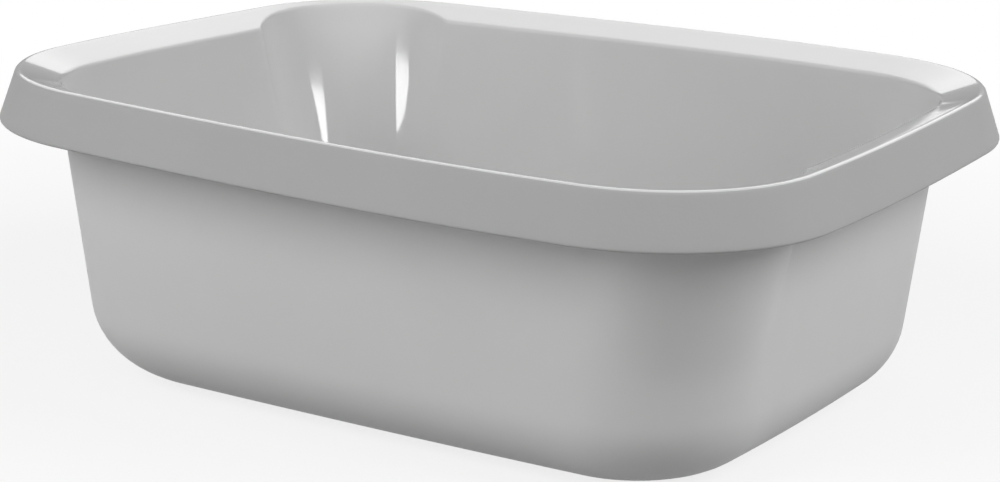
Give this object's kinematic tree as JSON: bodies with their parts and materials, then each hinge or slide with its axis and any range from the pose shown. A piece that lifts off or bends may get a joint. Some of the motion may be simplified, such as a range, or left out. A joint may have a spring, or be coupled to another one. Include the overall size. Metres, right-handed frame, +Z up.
{
  "type": "washing up bowl",
  "caption": "Rectangular washing up bowl with rounded corners, a sloping rim flange over a hanging skirt and pour channels at two opposite corners.",
  "frame": {"origin": "on the ground under the middle of the bowl, in the plane of the foot ring", "axes": "+X along the length, +Y along the width, +Z up; the pour channels are at the (+X, -Y) and (-X, +Y) corners"},
  "size_m": [0.39, 0.312, 0.1336],
  "materials": {
    "bowl": "glossy inside, satin outside, neutral grey"
  },
  "bodies": {
    "root": {"bowl": "bowl"}
  },
  "joints": []
}
